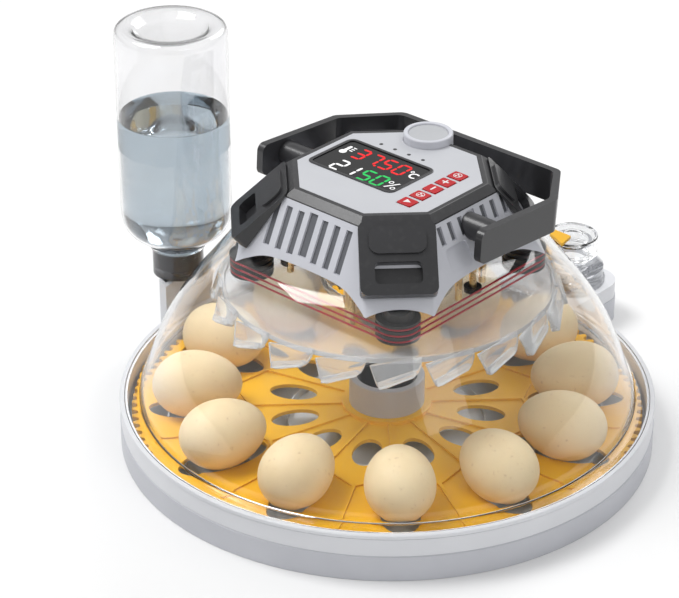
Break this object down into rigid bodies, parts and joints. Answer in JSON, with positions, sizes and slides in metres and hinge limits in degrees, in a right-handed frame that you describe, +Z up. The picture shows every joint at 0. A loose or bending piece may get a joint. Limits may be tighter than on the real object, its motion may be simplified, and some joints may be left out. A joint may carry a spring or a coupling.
{
  "type": "egg incubator",
  "caption": "Round tabletop egg incubator: clear dome, turning egg tray, heater and fan under a control head with folding handle, inverted water bottle, rear filler.",
  "frame": {"origin": "centre of the underside of the round base, on the table", "axes": "+Z up, -Y towards the louvred front of the control head, +X towards its right side, +Y towards the rear filler"},
  "size_m": [0.3853, 0.394, 0.232],
  "materials": {
    "base_grey": "satin moulded",
    "base_white": "satin moulded",
    "head_white": "satin moulded",
    "plate_grey": "satin printed plate",
    "rubber": "matte",
    "steel": "brushed",
    "pan_plastic": "satin wet",
    "column_grey": "satin moulded",
    "black_plastic": "matte",
    "dark_plastic": "satin moulded",
    "clear_plastic": "polished clear",
    "water": "clear",
    "smoke_plastic": "smoked translucent",
    "yellow_plastic": "satin moulded",
    "eggshell": "matte shell",
    "red_wire": "silicone sleeve",
    "brass": "polished",
    "board_green": "solder mask",
    "display_black": "polished",
    "lamp_black": "polished",
    "lens_grey": "frosted",
    "lamp_white": "gloss",
    "button_red": "satin printed"
  },
  "bodies": {
    "base": {"base_tub": "base_grey", "base_rim": "base_white", "lid_seal": "rubber", "foot_pads": "rubber", "pod_screws": "steel", "water_pan": "pan_plastic", "central_column": "column_grey", "column_liner": "black_plastic", "tray_glides": "column_grey", "turning_motor": "steel", "bottle_tower": "base_white", "water_spout": "base_white", "filler_port": "clear_plastic"},
    "tray": {"egg_tray": "yellow_plastic", "eggs": "eggshell"},
    "pinion": {"drive_pinion": "column_grey"},
    "bottle": {"water_bottle": "clear_plastic", "bottle_water": "water", "bottle_cap": "smoke_plastic", "cap_valve": "column_grey"},
    "port_cap": {"filler_cap": "clear_plastic", "filler_tab": "yellow_plastic"},
    "lid": {"dome": "clear_plastic", "lid_trim_ring": "base_white", "air_guide": "clear_plastic", "heater_posts": "black_plastic", "heating_wires": "red_wire", "guide_standoffs": "brass", "heater_terminals": "brass", "terminal_insulators": "black_plastic", "temperature_probe": "steel", "fan_motor": "black_plastic", "head_floor": "dark_plastic", "head_shroud": "head_white", "top_frame": "dark_plastic", "corner_panel_front_right": "dark_plastic", "corner_panel_back_right": "dark_plastic", "corner_panel_back_left": "dark_plastic", "corner_panel_front_left": "dark_plastic", "control_board": "board_green", "power_board": "board_green", "head_screws": "steel", "power_inlet": "black_plastic", "control_plate": "plate_grey", "display_window": "display_black", "display_module": "black_plastic", "indicator_lamps": "lamp_black", "button_switches": "black_plastic", "candling_cup": "head_white", "candling_lens": "lens_grey", "candling_lamp": "lamp_white", "handle_bosses": "dark_plastic", "handle_pins": "steel"},
    "fan": {"fan_rotor": "black_plastic"},
    "handle": {"carry_handle": "dark_plastic"},
    "button_1": {"button_1": "button_red"},
    "button_2": {"button_2": "button_red"},
    "button_3": {"button_3": "button_red"},
    "button_4": {"button_4": "button_red"},
    "button_5": {"button_5": "button_red"}
  },
  "joints": [
    {"name": "lid_lift", "type": "slide", "parent": "base", "child": "lid", "axis": [0.4472, 0, 0.8944], "range_m": [0, 0.2]},
    {"name": "tray_turn", "type": "hinge", "parent": "base", "child": "tray", "pos_m": [0, 0, 0], "axis": [0, 0, 1], "continuous": true},
    {"name": "pinion_spin", "type": "hinge", "parent": "base", "child": "pinion", "pos_m": [-0.04109, 0.17114, 0.016], "axis": [0, 0, 1], "continuous": true},
    {"name": "bottle_lift", "type": "slide", "parent": "base", "child": "bottle", "axis": [0, 0, 1], "range_m": [0, 0.12]},
    {"name": "port_cap_lift", "type": "slide", "parent": "base", "child": "port_cap", "axis": [0, 0, 1], "range_m": [0, 0.04]},
    {"name": "fan_spin", "type": "hinge", "parent": "lid", "child": "fan", "pos_m": [0, 0, 0.124], "axis": [0, 0, 1], "continuous": true},
    {"name": "handle_fold", "type": "hinge", "parent": "lid", "child": "handle", "pos_m": [0, 0, 0.1685], "axis": [1, 0, 0], "range_deg": [0, 94]},
    {"name": "button_1_press", "type": "slide", "parent": "lid", "child": "button_1", "axis": [0, 0, -1], "range_m": [0, 0.0008], "stiffness_N_per_m": 400},
    {"name": "button_2_press", "type": "slide", "parent": "lid", "child": "button_2", "axis": [0, 0, -1], "range_m": [0, 0.0008], "stiffness_N_per_m": 400},
    {"name": "button_3_press", "type": "slide", "parent": "lid", "child": "button_3", "axis": [0, 0, -1], "range_m": [0, 0.0008], "stiffness_N_per_m": 400},
    {"name": "button_4_press", "type": "slide", "parent": "lid", "child": "button_4", "axis": [0, 0, -1], "range_m": [0, 0.0008], "stiffness_N_per_m": 400},
    {"name": "button_5_press", "type": "slide", "parent": "lid", "child": "button_5", "axis": [0, 0, -1], "range_m": [0, 0.0008], "stiffness_N_per_m": 400}
  ],
  "couplings": [
    {"joint": "pinion_spin", "follows": "tray_turn", "ratio": -10}
  ]
}
